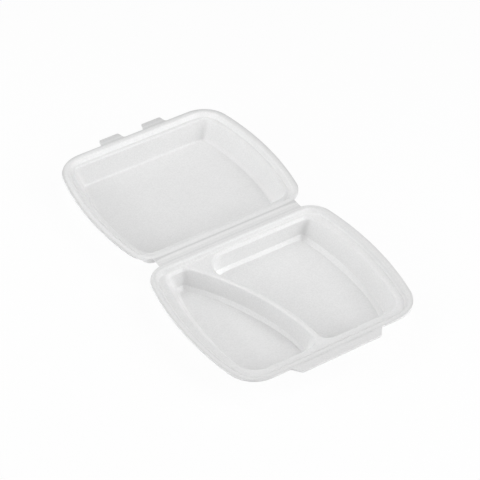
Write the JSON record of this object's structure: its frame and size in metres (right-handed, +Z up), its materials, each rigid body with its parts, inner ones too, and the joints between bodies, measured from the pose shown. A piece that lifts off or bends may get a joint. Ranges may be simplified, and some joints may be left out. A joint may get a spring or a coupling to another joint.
{
  "type": "foam clamshell container",
  "caption": "White foam clamshell meal box, open flat, with a curved divider, a hinged lid and a tab closure.",
  "frame": {"origin": "middle of the base's footprint, on its flat underside, which rests on the table", "axes": "+X along the hinge, +Y from the base to the opened lid, +Z up"},
  "size_m": [0.2438, 0.4417, 0.0315],
  "materials": {
    "foam": "satin skin of white foamed polystyrene"
  },
  "bodies": {
    "base": {"base": "foam"},
    "lid": {"lid": "foam"}
  },
  "joints": [
    {"name": "lid_hinge", "type": "hinge", "parent": "base", "child": "lid", "pos_m": [0, 0.10925, 0.0316], "axis": [1, 0, 0], "range_deg": [0, 180]}
  ]
}
